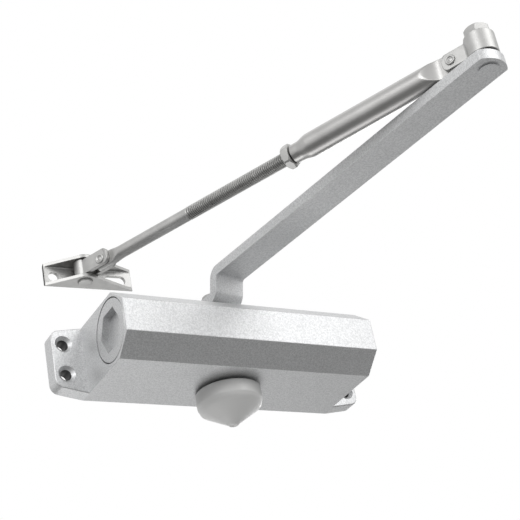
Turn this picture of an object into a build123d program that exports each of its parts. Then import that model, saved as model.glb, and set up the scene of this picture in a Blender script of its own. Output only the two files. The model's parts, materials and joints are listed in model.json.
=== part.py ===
from build123d import *
import math
import os

os.makedirs("parts", exist_ok=True)

# All sizes in mm. X runs along the body, Y goes into the door, Z is up.
# The origin is the middle of the back face; depth d in front of the door is y = -d.

# Cast body
body_len = 164.7
body_h = 42.0
body_d = 67.0
slope_d = 13.8
slope_h = 10.9
edge_r = 0.8
end_r = 0.5
ear_t = 9.8
ear_out = 19.65
ear_half = 17.6
ear_corner = 5.5
ear_blend = 14.0
hole_out = 12.15
hole_z = 9.5
hole_r = 3.2
sink_r = 5.3
sink_d = 2.1

# Cylinder bore, end plugs and their seals
bore_d = 46.9
bore_r = 16.5
plug_r = 18.95
plug_len = 14.0
plug_gap = 0.05
hex_af = 24.0
hex_d = 10.0
ring_wire = 0.93
ring_x = 8.0

# Pinion axis, gear and rack
axis_d = 24.0
module = 1.5
teeth = 12
press_deg = 25.0
backlash = 0.10
gear_h = 18.0
pocket_r = 11.05
journal_r = 7.0
square = 11.0
shaft_top = 35.7
shaft_low = -33.0
pitch_r = module * teeth / 2
pitch = math.pi * module
half = body_h / 2

# Piston, check valve and spring
piston_r = 16.45
piston_x0 = -33.0
piston_x1 = 30.0
flat_x0 = -22.5
flat_x1 = 24.0
ball_r = 2.5
duct_r = 1.6
wire_r = 1.8
coil_r = 13.2
coils = 5
seat_t = 2.5
seat_rim = 4.5
seat_hole_r = 5.0
spring_hole_r = 4.5
spring_hole_d = 6.0
check_d = 7.0

# Shaft bearings, screwed bearing caps and lip seals
bear_z = 12.0
bear_h = 5.0
cap_r = 12.95
cap_top = 21.6
seal_r = 9.5
lip_r = 7.6

# Adjusting valves in the right end face
valve_d = 17.0
valve_z = 11.0
valve_r = 3.4
valve_len = 16.0
valve_hole = 18.0
valve_in = 0.6
valve_groove = 8.0

# Plastic cover under the body
cover_r = 19.5
cover_z0 = -22.6
cover_z1 = -31.0
cover_tip = -44.3
cover_t = 1.6
hub_r = 9.4
hub_wall = 4.0

# Main arm
arm_angle = -80.8
arm_len = 243.5
arm_w = 20.5
arm_t = 6.0
arm_z0 = 30.0
arm_z1 = 44.5
rise_a = 16.5
rise_b = 20.6
bend_in = 2.0
arm_side_end = 4.0
arm_tip = 8.5

# Elbow
bolt_r = 4.0
bolt_af = 10.6
head_h = 4.8
washer_r = 7.0
washer_t = 1.7
knuckle_r = 8.3
knuckle_h = 13.8
strap_t = 2.8
leg_h = 9.8
leg_z = 57.8
leg_end = 21.6
leg_tip_r = 4.6
rivet_s = 16.3
rivet_r = 1.8
rivet_head = 2.8

# Forearm
fore_angle = 114.15
fore_len = 279.35
fore_rise = 0.32
flat_t = 4.0
flat_h = 12.8
flat_to = 27.0
round_from = 38.0
tube_r = 6.8
tube_in = 5.2
taper_from = 110.0
neck_from = 115.5
neck_to = 120.5
neck_r = 5.4
nut_af = 13.0
nut_t = 5.5
nut_s = 121.0
thread_r = 4.0
thread_from = 64.0
thread_back = 83.35
rod_r = 3.85
rod_back = 28.85
rod_flat_back = 23.35
rod_flat_h = 9.6
rod_tip_back = 11.85

# Shoe
shoe_z = 60.6
shoe_rivet_back = 17.15
shoe_rivet_r = 1.9
shoe_rivet_head = 3.0
shoe_knuckle_r = 5.6
shoe_knuckle_h = 10.6
shoe_leg_back = 22.55
shoe_leg_t = 2.5
shoe_leg_tip_r = 4.6
pin_r = 3.0
pin_head = 4.6
pin_head_h = 1.3
shoe_turn = -3.3
shoe_h = 15.0
shoe_left = 22.5
shoe_right = 33.0
shoe_plate_t = 2.5
shoe_flange_t = 2.0
shoe_back = 9.5
shoe_nose = 7.0
shoe_hole = -16.8
shoe_hole_r = 3.2
shoe_hole_low = 1.1
slot_mid = 22.3
slot_len = 13.6
slot_w = 6.4

run_gap = 0.05

elbow = (arm_len * math.cos(math.radians(arm_angle)),
         -axis_d + arm_len * math.sin(math.radians(arm_angle)))
ear_end = body_len / 2 + ear_out
hole_x = body_len / 2 + hole_out
thread_to = fore_len - thread_back
rod_to = fore_len - rod_back
rod_flat_from = fore_len - rod_flat_back
rod_flat_tip = fore_len - rod_tip_back
shoe_rivet_s = fore_len - shoe_rivet_back
shoe_leg_end = fore_len - shoe_leg_back
arm_top = arm_z1 + arm_t
knuckle_z0 = arm_top + washer_t + run_gap
knuckle_z1 = knuckle_z0 + knuckle_h
bush_r = knuckle_r - strap_t - run_gap
shoe_rivet_z = leg_z + (shoe_rivet_s - rivet_s) * math.sin(math.radians(fore_rise))


def along_x(r, x0, x1, y=0.0, z=0.0):
    """Round bar from x0 to x1."""
    return Pos((x0 + x1) / 2, y, z) * Rot(0, 90, 0) * Cylinder(r, x1 - x0)


def along_y(r, y0, y1, x=0.0, z=0.0):
    """Round bar from y0 to y1."""
    return Pos(x, (y0 + y1) / 2, z) * Rot(90, 0, 0) * Cylinder(r, abs(y1 - y0))


def along_z(r, z0, z1, x=0.0, y=0.0):
    """Round bar from z0 to z1."""
    return Pos(x, y, (z0 + z1) / 2) * Cylinder(r, z1 - z0)


def block(x0, x1, y0, y1, z0, z1):
    """Box between six planes."""
    return Pos((x0 + x1) / 2, (y0 + y1) / 2, (z0 + z1) / 2) * Box(x1 - x0, y1 - y0, z1 - z0)


def hexagon(af):
    """Hexagon with the given width across flats."""
    return RegularPolygon(af / 2, 6, major_radius=False)


def on_level(shape, z=0.0):
    """Move a piece drawn along X onto the forearm's direction, level, at height z."""
    return Pos(elbow[0], elbow[1], z) * Rot(0, 0, fore_angle) * shape


def on_fore(shape):
    """Move a piece drawn along X onto the forearm's line, which rises a little from its rivet."""
    lean = Pos(rivet_s, 0, 0) * Rot(0, -fore_rise, 0) * Pos(-rivet_s, 0, 0)
    return on_level(lean * shape, leg_z)


def on_arm(shape):
    """Move a piece drawn along X onto the main arm line."""
    return Pos(0, -axis_d, 0) * Rot(0, 0, arm_angle) * shape


def body_casting():
    face_d = body_d - slope_d
    face_h = half - slope_h
    side = Plane.YZ * Polygon((0, -half), (-face_d, -half), (-body_d, -face_h),
                              (-body_d, face_h), (-face_d, half), (0, half), align=None)
    prism = extrude(side, body_len / 2, both=True)
    long_edges = [e for e in prism.edges().filter_by(Axis.X) if e.center().Y < -1]
    prism = fillet(long_edges, edge_r)
    end_edges = [e for e in prism.edges()
                 if abs(abs(e.center().X) - body_len / 2) < 0.01 and e.center().Y < -ear_t]
    prism = fillet(end_edges, end_r)
    outline = Polygon((-ear_end, -ear_half), (-body_len / 2, -half), (body_len / 2, -half),
                      (ear_end, -ear_half), (ear_end, ear_half), (body_len / 2, half),
                      (-body_len / 2, half), (-ear_end, ear_half), align=None)
    ears = extrude(Plane.XZ * outline, ear_t)
    corners = [e for e in ears.edges().filter_by(Axis.Y) if abs(e.center().X) > ear_end - 1]
    ears = fillet(corners, ear_corner)
    roots = [e for e in ears.edges().filter_by(Axis.Y)
             if abs(abs(e.center().X) - body_len / 2) < 0.5 and abs(e.center().Z) > half - 0.5]
    ears = fillet(roots, ear_blend)
    rims = [e for e in ears.edges().group_by(Axis.Y)[0] if abs(e.center().X) > body_len / 2 + 1]
    ears = fillet(rims, edge_r)
    body = prism + ears
    inner = body_len / 2 - plug_len
    body -= along_x(bore_r, -inner - 1, inner + 1, -bore_d)
    for sx in (-1, 1):
        x_in, x_out = sorted((sx * inner, sx * (body_len / 2 + 1)))
        body -= along_x(plug_r + plug_gap, x_in, x_out, -bore_d)
        for sz in (-1, 1):
            body -= along_y(hole_r, 1, -ear_t - 1, sx * hole_x, sz * hole_z)
            body -= (Pos(sx * hole_x, -ear_t + sink_d / 2, sz * hole_z) * Rot(90, 0, 0)
                     * Cone(hole_r, sink_r, sink_d))
    body -= along_z(pocket_r, -bear_z - bear_h, bear_z + bear_h, 0, -axis_d)
    for sz in (-1, 1):
        z_in, z_out = sorted((sz * (bear_z + bear_h), sz * (half + 1)))
        body -= along_z(cap_r + plug_gap, z_in, z_out, 0, -axis_d)
        seat_x = body_len / 2 - valve_hole
        body -= along_x(valve_r + plug_gap, seat_x, body_len / 2 + 1, -valve_d, sz * valve_z)
        body -= along_x(duct_r, seat_x - 10, seat_x + 1, -valve_d, sz * valve_z)
        body -= along_y(duct_r, -valve_d, -bore_d + bore_r / 2, seat_x - 8, sz * valve_z)
    return body


def end_plug(sx):
    face = body_len / 2
    plug = along_x(plug_r, face - plug_len, face, -bore_d)
    rim = plug.edges().filter_by(GeomType.CIRCLE).sort_by(Axis.X)[-1]
    plug = chamfer(rim, 0.5)
    hexes = Plane.YZ.offset(face - hex_d) * Pos(-bore_d, 0) * Rot(0, 0, 90) * hexagon(hex_af)
    plug -= extrude(hexes, hex_d + 1)
    mid = face - plug_len + ring_x / 2
    groove = (along_x(plug_r + 1, mid - 1.2, mid + 1.2, -bore_d)
              - along_x(plug_r - 2 * ring_wire, mid - 1.2, mid + 1.2, -bore_d))
    plug -= groove
    return plug if sx > 0 else mirror(plug, Plane.YZ)


def plug_seals():
    mid = body_len / 2 - plug_len + ring_x / 2
    ring = Rot(0, 90, 0) * Torus(plug_r + plug_gap - ring_wire - 0.01, ring_wire)
    return Compound(children=[Pos(sx * mid, -bore_d, 0) * ring for sx in (-1, 1)])


def rack_space(mid):
    """Room between two rack teeth, seen from above."""
    lean = math.tan(math.radians(press_deg))
    tip, root = module, 1.25 * module
    at_pitch = pitch / 4 + backlash / 4
    line = -bore_d + (bore_d - axis_d) - pitch_r
    wide = at_pitch + (tip + 0.5) * lean
    slim = at_pitch - root * lean
    shape = Polygon((mid - wide, line + tip + 0.5), (mid - slim, line - root),
                    (mid + slim, line - root), (mid + wide, line + tip + 0.5), align=None)
    return extrude(Plane.XY.offset(-bore_r - 1) * shape, 2 * bore_r + 2)


def piston():
    p = along_x(piston_r, piston_x0, piston_x1, -bore_d)
    ends = p.edges().filter_by(GeomType.CIRCLE)
    p = chamfer(ends, 0.8)
    tip_y = -axis_d - pitch_r + module
    p -= block(flat_x0, flat_x1, tip_y, tip_y + 2 * bore_r, -bore_r - 1, bore_r + 1)
    for k in range(-5, 5):
        p -= rack_space((k + 0.5) * pitch)
    p -= along_x(duct_r, piston_x0 - 1, piston_x1 + 1, -bore_d)
    p -= along_x(ball_r + 0.7, piston_x0 - 1, piston_x0 + check_d, -bore_d)
    p -= along_x(spring_hole_r, piston_x1 - spring_hole_d, piston_x1 + 1, -bore_d)
    return p


def check_ball():
    seat = piston_x0 + check_d
    return Pos(seat - math.sqrt(ball_r ** 2 - duct_r ** 2) - 0.02, -bore_d, 0) * Sphere(ball_r)


def check_ring():
    ring = along_x(ball_r + 0.7, piston_x0, piston_x0 + 1.5, -bore_d)
    return ring - along_x(1.7, piston_x0 - 1, piston_x0 + 2, -bore_d)


def spring():
    x0 = piston_x1 + wire_r + 0.05
    x1 = body_len / 2 - plug_len - seat_t - wire_r - 0.05
    path = Helix((x1 - x0) / coils, x1 - x0, coil_r)
    wire = sweep(Plane(origin=path @ 0, z_dir=path % 0) * Circle(wire_r), path=path)
    return Pos(x0, -bore_d, 0) * Rot(0, 90, 0) * wire


def spring_seat():
    x1 = body_len / 2 - plug_len
    seat = along_x(bore_r - 0.6, x1 - seat_t, x1, -bore_d)
    seat += along_x(coil_r - wire_r - 0.6, x1 - seat_t - seat_rim, x1 - seat_t, -bore_d)
    return seat - along_x(seat_hole_r, x1 - seat_t - seat_rim - 1, x1 + 1, -bore_d)


def gear_outline():
    """Involute gear, with a tooth space facing the rack."""
    base = pitch_r * math.cos(math.radians(press_deg))
    tip, root = pitch_r + module, pitch_r - 1.2 * module
    inv_p = math.tan(math.radians(press_deg)) - math.radians(press_deg)
    half_tooth = (pitch / 4 - backlash / 4) / pitch_r

    def half_angle(r):
        a = math.acos(min(1.0, base / r))
        return half_tooth + inv_p - (math.tan(a) - a)

    radii = [base + (tip - base) * i / 5 for i in range(6)]
    pts = []
    for k in range(teeth):
        mid = 2 * math.pi * (k + 0.5) / teeth
        flank = [(root, half_angle(base))] + [(r, half_angle(r)) for r in radii]
        for r, a in flank:
            pts.append((r * math.cos(mid - a), r * math.sin(mid - a)))
        for r, a in reversed(flank):
            pts.append((r * math.cos(mid + a), r * math.sin(mid + a)))
    return Polygon(*pts, align=None)


def pinion_shaft():
    gear = extrude(Plane.XY.offset(-gear_h / 2) * gear_outline(), gear_h)
    shaft = gear + along_z(journal_r, shaft_low, shaft_top)
    for z0, z1 in ((arm_z0, shaft_top + 1), (shaft_low - 1, cover_z0 - 1)):
        sleeve = along_z(journal_r + 2, z0, z1) - block(-square / 2, square / 2, -square / 2,
                                                        square / 2, z0, z1)
        shaft -= Rot(0, 0, arm_angle) * sleeve
    shaft -= along_z(3.0, shaft_top - 15, shaft_top + 1)
    return Pos(0, -axis_d, 0) * shaft


def shaft_bearings():
    ring = along_z(pocket_r - plug_gap, bear_z, bear_z + bear_h)
    ring -= along_z(journal_r + 0.02, bear_z - 1, bear_z + bear_h + 1)
    ring = Pos(0, -axis_d, 0) * ring
    return Compound(children=[ring, mirror(ring, Plane.XY)])


def bearing_caps():
    z0 = bear_z + bear_h
    cap = along_z(cap_r, z0, cap_top) - along_z(lip_r, z0 - 1, cap_top + 1)
    cap -= along_z(seal_r, z0 - 1, z0 + 3)
    for a in (0, 180):
        cap -= Rot(0, 0, a) * along_z(1.0, cap_top - 1.6, cap_top + 1, (cap_r + lip_r) / 2 + 0.6)
    cap = Pos(0, -axis_d, 0) * cap
    return Compound(children=[cap, mirror(cap, Plane.XY)])


def shaft_seals():
    z0 = bear_z + bear_h
    seal = along_z(seal_r, z0, z0 + 2.9) - along_z(journal_r + 0.03, z0 - 1, z0 + 4)
    seal = Pos(0, -axis_d, 0) * seal
    return Compound(children=[seal, mirror(seal, Plane.XY)])


def valve(sz):
    face = body_len / 2 - valve_in
    tip = face - valve_len
    v = along_x(valve_r, tip + 3, face)
    v = chamfer(v.edges().filter_by(GeomType.CIRCLE).sort_by(Axis.X)[-1], 0.4)
    v += Pos(tip + 1.5, 0, 0) * Rot(0, 90, 0) * Cone(0.8, 2.2, 3)
    v -= block(face - 1.8, face + 1, -valve_r, valve_r, -0.6, 0.6)
    mid = face - valve_groove
    v -= along_x(valve_r + 1, mid - 0.9, mid + 0.9) - along_x(valve_r - 1.3, mid - 0.9, mid + 0.9)
    return Pos(0, -valve_d, sz * valve_z) * v


def valve_seals():
    mid = body_len / 2 - valve_in - valve_groove
    ring = Rot(0, 90, 0) * Torus(valve_r - 0.62, 0.66)
    return Compound(children=[Pos(mid, -valve_d, sz * valve_z) * ring for sz in (-1, 1)])


def pinion_cover():
    slope = (cover_tip - cover_z1) / cover_r
    drop = cover_t * math.sqrt(1 + slope ** 2)
    inner = cover_r - cover_t
    lines = Polyline((0, cover_tip + 0.9), (0.9, cover_tip + 0.7), (1.7, cover_tip + 0.35),
                     (3.0, cover_z1 + slope * (cover_r - 3.0) - 0.25),
                     (cover_r - 0.6, cover_z1 + slope * 0.6 - 0.15), (cover_r, cover_z1 + 0.5),
                     (cover_r, cover_z0), (inner, cover_z0), (inner, cover_z1 + 0.4),
                     (0, cover_tip + drop + 0.6), (0, cover_tip + 0.9))
    shell = revolve(make_face(Plane.XZ * lines), Axis.Z)
    hub_z0 = cover_z0 - 1.6
    hub = along_z(hub_r, shaft_low - hub_wall, hub_z0)
    socket = Rot(0, 0, arm_angle) * block(-square / 2 - 0.02, square / 2 + 0.02, -square / 2 - 0.02,
                                          square / 2 + 0.02, shaft_low - 0.1, hub_z0 + 1)
    shell = shell + (hub - socket)
    return Pos(0, -axis_d, 0) * shell


def arm_side():
    """Side view of the cranked bar: foot, riser and long part."""
    run, rise = rise_b - rise_a, arm_z1 - arm_z0
    size = math.hypot(run, rise)
    top_a = rise_a - arm_t * rise / size + (arm_t - arm_t * run / size) * run / rise
    top_b = top_a + run
    end = arm_len + arm_tip + 1
    shape = Polygon((-arm_w, arm_z0), (rise_a, arm_z0), (rise_b, arm_z1), (end, arm_z1),
                    (end, arm_z1 + arm_t), (top_b, arm_z1 + arm_t), (top_a, arm_z0 + arm_t),
                    (-arm_w, arm_z0 + arm_t), align=None)
    for (x, z, r) in ((rise_a, arm_z0, bend_in + arm_t), (rise_b, arm_z1, bend_in),
                      (top_b, arm_z1 + arm_t, bend_in + arm_t), (top_a, arm_z0 + arm_t, bend_in)):
        spot = shape.vertices().sort_by_distance((x, z, 0))[0]
        shape = fillet(spot, r)
    return shape


def main_arm():
    bar = extrude(Plane.XZ * arm_side(), arm_w / 2, both=True)
    bulge = arm_tip - arm_side_end
    big = ((arm_w / 2) ** 2 + bulge ** 2) / (2 * bulge)
    plan = Circle(arm_w / 2) + Pos((arm_len + arm_side_end) / 2, 0) * Rectangle(
        arm_len + arm_side_end, arm_w)
    tip = Pos(arm_len + arm_tip - big, 0) * Circle(big)
    tip &= Pos(arm_len + arm_side_end + big, 0) * Rectangle(2 * big, 2 * arm_w)
    plan += tip
    bar &= extrude(Plane.XY.offset(arm_z0 - 1) * plan, 40)
    edges = [e for e in bar.edges() if e.length > arm_len * 0.8]
    bar = fillet(edges, 0.6)
    s = square / 2 + 0.02
    bar -= block(-s, s, -s, s, arm_z0 - 1, arm_z0 + arm_t + 1)
    bar -= along_z(bolt_r, arm_z1 - 1, arm_z1 + arm_t + 1, arm_len)
    return on_arm(bar)


def arm_washer():
    z0 = arm_z0 + arm_t
    return on_arm(along_z(9.0, z0, z0 + 1.2) - along_z(3.05, z0 - 1, z0 + 2))


def arm_screw():
    z0 = arm_z0 + arm_t + 1.2
    head = extrude(Plane.XY.offset(z0) * hexagon(10), 4.5)
    head &= Pos(0, 0, z0 + 4.5 - 5) * Cone(10.2, 5.2, 10)
    return on_arm(head + along_z(2.95, shaft_top - 13, z0))


def elbow_bolt():
    z0 = knuckle_z1 + run_gap
    head = extrude(Plane.XY.offset(z0) * hexagon(bolt_af), head_h)
    head &= Pos(0, 0, z0 + head_h - 7.2) * Sphere(7.2)
    shank = along_z(bolt_r, arm_z1 + 0.5, z0)
    return Pos(elbow[0], elbow[1], 0) * Rot(0, 0, arm_angle + 12) * (head + shank)


def elbow_washer():
    ring = along_z(washer_r, arm_top, knuckle_z0 - run_gap)
    return Pos(elbow[0], elbow[1], 0) * (ring - along_z(bolt_r + 0.03, arm_z1, knuckle_z0))


def elbow_bush():
    z0, z1 = knuckle_z0 - run_gap, knuckle_z1 + run_gap
    ring = along_z(bush_r, z0, z1) - along_z(bolt_r + 0.03, z0 - 1, z1 + 1)
    return Pos(elbow[0], elbow[1], 0) * ring


def strap(barrel_r, hole, height, gap, leg_t, end, leg_low, leg_tall, rivet_hole, rivet_at, tip_r):
    """Strap folded round a pin, from z = 0 up, with two legs that hold a flat end between them."""
    out = gap / 2 + leg_t
    side = 1 if end > 0 else -1
    barrel = along_z(barrel_r, 0, height)
    top = barrel.edges().filter_by(GeomType.CIRCLE).sort_by(Axis.Z)[-1]
    barrel = chamfer(top, 1.0)
    legs = Pos(end / 2, 0, leg_low + leg_tall / 2) * Box(abs(end), 2 * out, leg_tall)
    tips = [e for e in legs.edges().filter_by(Axis.Y) if abs(e.center().X - end) < 0.05]
    legs = fillet(tips, tip_r)
    body = barrel + legs
    body -= along_z(hole, -1, height + 1)
    body -= block(min(side, end + side), max(side, end + side), -gap / 2, gap / 2, -1, height + 1)
    return body - along_y(rivet_hole, -barrel_r, barrel_r, rivet_at, leg_low + leg_tall / 2)


def elbow_knuckle():
    body = strap(knuckle_r, knuckle_r - strap_t, knuckle_h, flat_t + 0.1, strap_t, leg_end,
                 leg_z - leg_h / 2 - knuckle_z0, leg_h, rivet_r, rivet_s, leg_tip_r)
    return on_level(body, knuckle_z0)


def rivet(s, r, head, out):
    """Rivet across the two legs, with a hollow set end on each side."""
    pin = along_y(r, -out, out, s)
    for sy in (-1, 1):
        cap = Pos(s, sy * (out + 0.5), 0) * Rot(90, 0, 0) * Cone(
            head * (0.8 if sy > 0 else 1), head * (1 if sy > 0 else 0.8), 1.0)
        pin += cap
        pin -= Pos(s, sy * (out + 1.0), 0) * Rot(90, 0, 0) * Cylinder(head * 0.42, 1.2)
    return pin


def elbow_rivet():
    return on_level(rivet(rivet_s, rivet_r, rivet_head, flat_t / 2 + 0.05 + strap_t), leg_z)


def forearm_tube():
    r_end = flat_h / 2
    side = Pos((rivet_s + flat_to) / 2, 0) * Rectangle(flat_to - rivet_s, flat_h)
    side += Pos(rivet_s, 0) * Circle(r_end)
    blade = extrude(Plane.XZ * side, flat_t / 2, both=True)
    flat = Plane.YZ.offset(flat_to) * RectangleRounded(flat_t, flat_h, flat_t / 2 - 0.05)
    tube = loft([flat, Plane.YZ.offset(round_from) * Circle(tube_r)])
    tube += along_x(tube_r, round_from, taper_from)
    tube += Pos((taper_from + neck_from) / 2, 0, 0) * Rot(0, 90, 0) * Cone(
        tube_r, neck_r, neck_from - taper_from)
    tube += along_x(neck_r, neck_from, neck_to)
    tube += blade
    tube -= along_x(thread_r + 0.05, round_from + 2, neck_to + 1)
    tube -= along_x(tube_in, round_from + 2, taper_from - 2)
    tube -= along_y(rivet_r + run_gap, -6, 6, rivet_s)
    return on_fore(tube)


def lock_nut():
    nut = extrude(Plane.YZ.offset(nut_s) * hexagon(nut_af), nut_t)
    for at, cut in ((nut_s + nut_t, 1), (nut_s, -1)):
        tall = 8.0
        cone = Pos(at - cut * tall / 2, 0, 0) * Rot(0, 90 * cut, 0) * Cone(
            nut_af / 2 + 0.35 + 1.8 * tall, nut_af / 2 + 0.35, tall)
        nut &= cone
    return on_fore(nut - along_x(thread_r + 0.04, nut_s - 1, nut_s + nut_t + 1))


def forearm_rod():
    rod = along_x(thread_r, thread_from, thread_to)
    rod = chamfer(rod.edges().filter_by(GeomType.CIRCLE), 0.8)
    rod += along_x(rod_r, thread_to - 1, rod_to)
    flat = Plane.YZ.offset(rod_flat_from) * RectangleRounded(flat_t, rod_flat_h, flat_t / 2 - 0.05)
    rod += loft([Plane.YZ.offset(rod_to) * Circle(rod_r), flat])
    side = Pos((shoe_rivet_s + rod_flat_from) / 2, 0) * Rectangle(
        shoe_rivet_s - rod_flat_from, rod_flat_h) + Pos(shoe_rivet_s, 0) * Circle(rod_flat_h / 2)
    rod += extrude(Plane.XZ * side, flat_t / 2, both=True)
    rod -= block(rod_flat_tip, rod_flat_tip + 9, -9, 9, -9, 9)
    return on_fore(rod - along_y(shoe_rivet_r + run_gap, -6, 6, shoe_rivet_s))


def shoe_knuckle():
    low = shoe_z - shoe_knuckle_h / 2
    leg_tall = 2 * min(shoe_rivet_z - low, low + shoe_knuckle_h - shoe_rivet_z)
    body = strap(shoe_knuckle_r, pin_r + run_gap, shoe_knuckle_h, flat_t + 0.1, shoe_leg_t,
                 shoe_leg_end - fore_len, shoe_rivet_z - leg_tall / 2 - low, leg_tall,
                 shoe_rivet_r, shoe_rivet_s - fore_len, shoe_leg_tip_r * leg_tall / shoe_knuckle_h)
    return on_level(Pos(fore_len, 0, 0) * body, low)


def shoe_rivet():
    body = rivet(shoe_rivet_s, shoe_rivet_r, shoe_rivet_head, flat_t / 2 + 0.05 + shoe_leg_t)
    return on_level(body, shoe_rivet_z)


def on_shoe(shape):
    """Move a piece drawn round the shoe pin to its place."""
    a = math.radians(fore_angle)
    x, y = elbow[0] + fore_len * math.cos(a), elbow[1] + fore_len * math.sin(a)
    return Pos(x, y, shoe_z) * Rot(0, 0, shoe_turn) * shape


def shoe_pin():
    z = shoe_h / 2
    pin = along_z(pin_r, -z, z)
    for sz in (-1, 1):
        disc = along_z(pin_head, z, z + pin_head_h)
        disc = chamfer(disc.edges().filter_by(GeomType.CIRCLE).sort_by(Axis.Z)[-1], 0.5)
        pin += disc if sz > 0 else mirror(disc, Plane.XY)
    return on_shoe(pin)


def shoe_bracket():
    plate = block(-shoe_left, shoe_right, shoe_back - shoe_plate_t, shoe_back,
                  -shoe_h / 2, shoe_h / 2)
    base = shoe_back - shoe_plate_t + 0.2
    edge = Polyline((-shoe_left, shoe_back), (-shoe_left, base), (shoe_right, base),
                    (shoe_right, shoe_back), (-shoe_left, shoe_back))
    bow = Circle(shoe_nose)
    flange = make_hull(list(edge.edges()) + list(bow.edges()))
    for sz in (-1, 1):
        low = sz * shoe_h / 2 - (shoe_flange_t if sz > 0 else 0)
        plate += extrude(Plane.XY.offset(low) * flange, shoe_flange_t)
    folds = [e for e in plate.edges().filter_by(Axis.X)
             if abs(e.center().Y - shoe_back) < 0.01 and abs(abs(e.center().Z) - shoe_h / 2) < 0.01]
    plate = fillet(folds, 1.6)
    plate -= along_z(pin_r, -shoe_h, shoe_h)
    plate -= along_y(shoe_hole_r, 0, shoe_back + 1, shoe_hole, -shoe_hole_low)
    plate -= extrude(Plane.XZ.offset(-shoe_back - 1) * Pos(slot_mid, -shoe_hole_low)
                     * SlotOverall(slot_len, slot_w), shoe_plate_t + 2)
    return on_shoe(plate)


pieces = {
    "body_casting": body_casting(),
    "end_plug_left": end_plug(-1),
    "end_plug_right": end_plug(1),
    "plug_seals": plug_seals(),
    "piston": piston(),
    "check_ball": check_ball(),
    "check_ring": check_ring(),
    "spring": spring(),
    "spring_seat": spring_seat(),
    "pinion_shaft": pinion_shaft(),
    "shaft_bearings": shaft_bearings(),
    "bearing_caps": bearing_caps(),
    "shaft_seals": shaft_seals(),
    "closing_valve": valve(1),
    "latching_valve": valve(-1),
    "valve_seals": valve_seals(),
    "pinion_cover": pinion_cover(),
    "main_arm": main_arm(),
    "arm_washer": arm_washer(),
    "arm_screw": arm_screw(),
    "elbow_bolt": elbow_bolt(),
    "elbow_washer": elbow_washer(),
    "elbow_bush": elbow_bush(),
    "elbow_knuckle": elbow_knuckle(),
    "elbow_rivet": elbow_rivet(),
    "forearm_tube": forearm_tube(),
    "lock_nut": lock_nut(),
    "forearm_rod": forearm_rod(),
    "shoe_knuckle": shoe_knuckle(),
    "shoe_rivet": shoe_rivet(),
    "shoe_pin": shoe_pin(),
    "shoe_bracket": shoe_bracket(),
}

for name, shape in pieces.items():
    export_step(shape, f"parts/{name}.step")
    box = shape.bounding_box()
    print(name, round(shape.volume, 1), len(shape.solids()),
          [round(v, 1) for v in (box.min.X, box.min.Y, box.min.Z, box.max.X, box.max.Y, box.max.Z)])
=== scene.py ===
import bpy
import bmesh
import json
import math
from mathutils import Matrix, Vector


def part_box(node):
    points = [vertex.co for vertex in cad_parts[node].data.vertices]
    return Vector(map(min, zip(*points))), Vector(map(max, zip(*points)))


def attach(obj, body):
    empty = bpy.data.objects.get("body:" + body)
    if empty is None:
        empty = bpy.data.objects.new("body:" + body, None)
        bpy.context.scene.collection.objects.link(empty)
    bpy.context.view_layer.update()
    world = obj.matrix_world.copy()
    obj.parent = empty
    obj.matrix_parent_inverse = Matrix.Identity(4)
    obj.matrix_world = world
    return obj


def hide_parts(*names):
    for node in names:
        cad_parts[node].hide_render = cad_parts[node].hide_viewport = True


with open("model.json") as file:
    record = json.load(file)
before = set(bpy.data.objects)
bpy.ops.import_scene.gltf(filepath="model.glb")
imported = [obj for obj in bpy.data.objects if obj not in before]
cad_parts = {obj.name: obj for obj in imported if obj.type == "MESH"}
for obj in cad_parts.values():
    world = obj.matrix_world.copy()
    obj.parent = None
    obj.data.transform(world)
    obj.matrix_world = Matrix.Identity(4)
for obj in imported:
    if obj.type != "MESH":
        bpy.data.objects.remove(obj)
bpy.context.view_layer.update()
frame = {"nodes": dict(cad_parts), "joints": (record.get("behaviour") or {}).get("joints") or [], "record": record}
nodes = frame["nodes"]
mm = 0.001
print("frame loaded,", len(nodes), "nodes")

scene = bpy.context.scene
scene.view_settings.view_transform = "Standard"


# shader maths: a socket that adds, multiplies and so on, and adds the Math nodes itself
class Socket:
    def __init__(self, tree, socket):
        self.tree = tree
        self.socket = socket

    def maths(self, operation, other, swapped=False):
        values = [other, self] if swapped else [self, other]
        return self.tree.add("ShaderNodeMath", {"operation": operation}, {0: values[0], 1: values[1]})

    def __add__(self, other):
        return self.maths("ADD", other)

    def __radd__(self, other):
        return self.maths("ADD", other, True)

    def __sub__(self, other):
        return self.maths("SUBTRACT", other)

    def __rsub__(self, other):
        return self.maths("SUBTRACT", other, True)

    def __mul__(self, other):
        return self.maths("MULTIPLY", other)

    def __rmul__(self, other):
        return self.maths("MULTIPLY", other, True)

    def __lt__(self, other):
        return self.maths("LESS_THAN", other)

    def unsigned(self):
        return self.maths("ABSOLUTE", 0.0)

    def root(self):
        return self.maths("SQRT", 0.0)


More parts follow.
